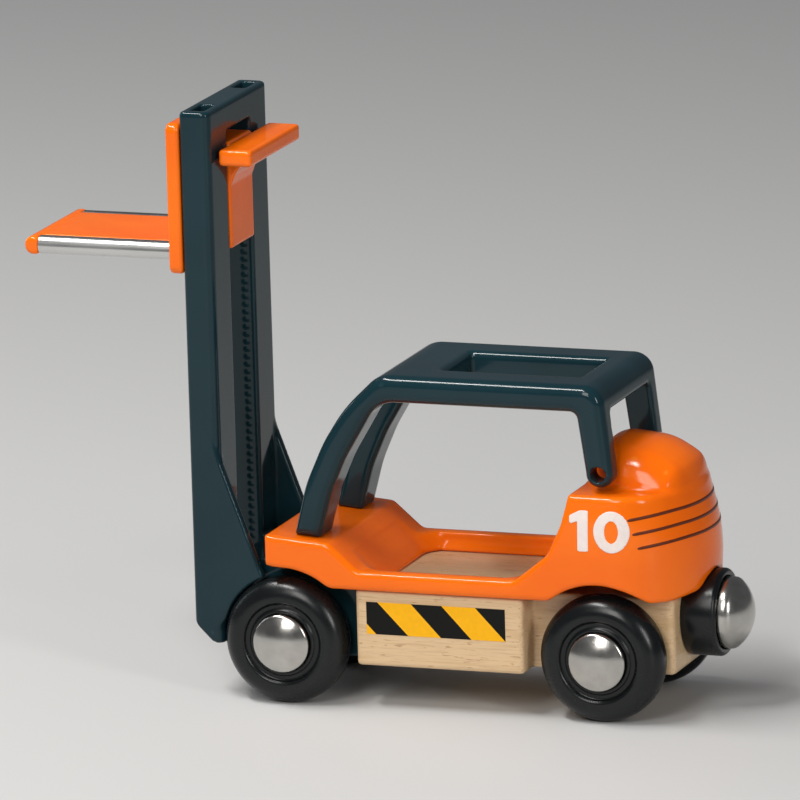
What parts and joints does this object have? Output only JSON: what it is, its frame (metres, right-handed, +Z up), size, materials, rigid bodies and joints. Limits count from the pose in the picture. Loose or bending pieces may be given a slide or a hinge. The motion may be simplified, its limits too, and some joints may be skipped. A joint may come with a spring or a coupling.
{
  "type": "toy forklift",
  "caption": "Wooden-railway toy forklift with a beech chassis, a plastic body, a hinged roll cage, a fork platform that slides on a tall mast, rolling wheels and a magnetic coupler.",
  "frame": {"origin": "on the ground, below the middle of the whole toy", "axes": "+X forward, towards the fork platform; +Y to the driver's left; +Z up"},
  "size_m": [0.1145, 0.0348, 0.093],
  "materials": {
    "beech": "fine beech grain, clear satin lacquer",
    "orange_plastic": "smooth moulded plastic, medium gloss",
    "slate_plastic": "smooth moulded plastic, medium gloss",
    "black_plastic": "smooth moulded plastic, gloss",
    "bright_steel": "nickel-plated steel, polished",
    "axle_steel": "drawn steel",
    "magnet": "sintered ferrite, matt",
    "spring_steel": "blank spring steel",
    "zinc_screws": "zinc-plated steel"
  },
  "bodies": {
    "chassis": {"chassis_block": "beech", "cab_body": "orange_plastic", "mast": "slate_plastic", "coupler_sleeve": "black_plastic", "coupler_screw": "zinc_screws", "body_screws": "zinc_screws", "mast_screws": "zinc_screws"},
    "front_wheelset": {"front_axle": "axle_steel", "wheel_front_left": "black_plastic", "wheel_front_right": "black_plastic", "hub_cap_front_left": "bright_steel", "hub_cap_front_right": "bright_steel"},
    "rear_wheelset": {"rear_axle": "axle_steel", "wheel_rear_left": "black_plastic", "wheel_rear_right": "black_plastic", "hub_cap_rear_left": "bright_steel", "hub_cap_rear_right": "bright_steel"},
    "carriage": {"fork_carriage": "orange_plastic", "fork_rod_left": "bright_steel", "fork_rod_right": "bright_steel", "lift_handle": "orange_plastic", "carriage_screws": "zinc_screws", "click_spring": "spring_steel"},
    "cage": {"roll_cage": "slate_plastic"},
    "coupler": {"coupler_magnet": "magnet", "coupler_cap": "bright_steel"}
  },
  "joints": [
    {"name": "front_axle_spin", "type": "hinge", "parent": "chassis", "child": "front_wheelset", "pos_m": [0.01475, 0, 0.01], "axis": [0, 1, 0], "continuous": true},
    {"name": "rear_axle_spin", "type": "hinge", "parent": "chassis", "child": "rear_wheelset", "pos_m": [-0.03695, 0, 0.01], "axis": [0, 1, 0], "continuous": true},
    {"name": "fork_lift", "type": "slide", "parent": "chassis", "child": "carriage", "axis": [0, 0, 1], "range_m": [-0.0575, 0.0012]},
    {"name": "cage_hinge", "type": "hinge", "parent": "chassis", "child": "cage", "pos_m": [-0.03695, 0, 0.039], "axis": [0, -1, 0], "range_deg": [0, 70]},
    {"name": "coupler_spin", "type": "hinge", "parent": "chassis", "child": "coupler", "pos_m": [-0.0523, 0, 0.0151], "axis": [1, 0, 0], "continuous": true}
  ]
}
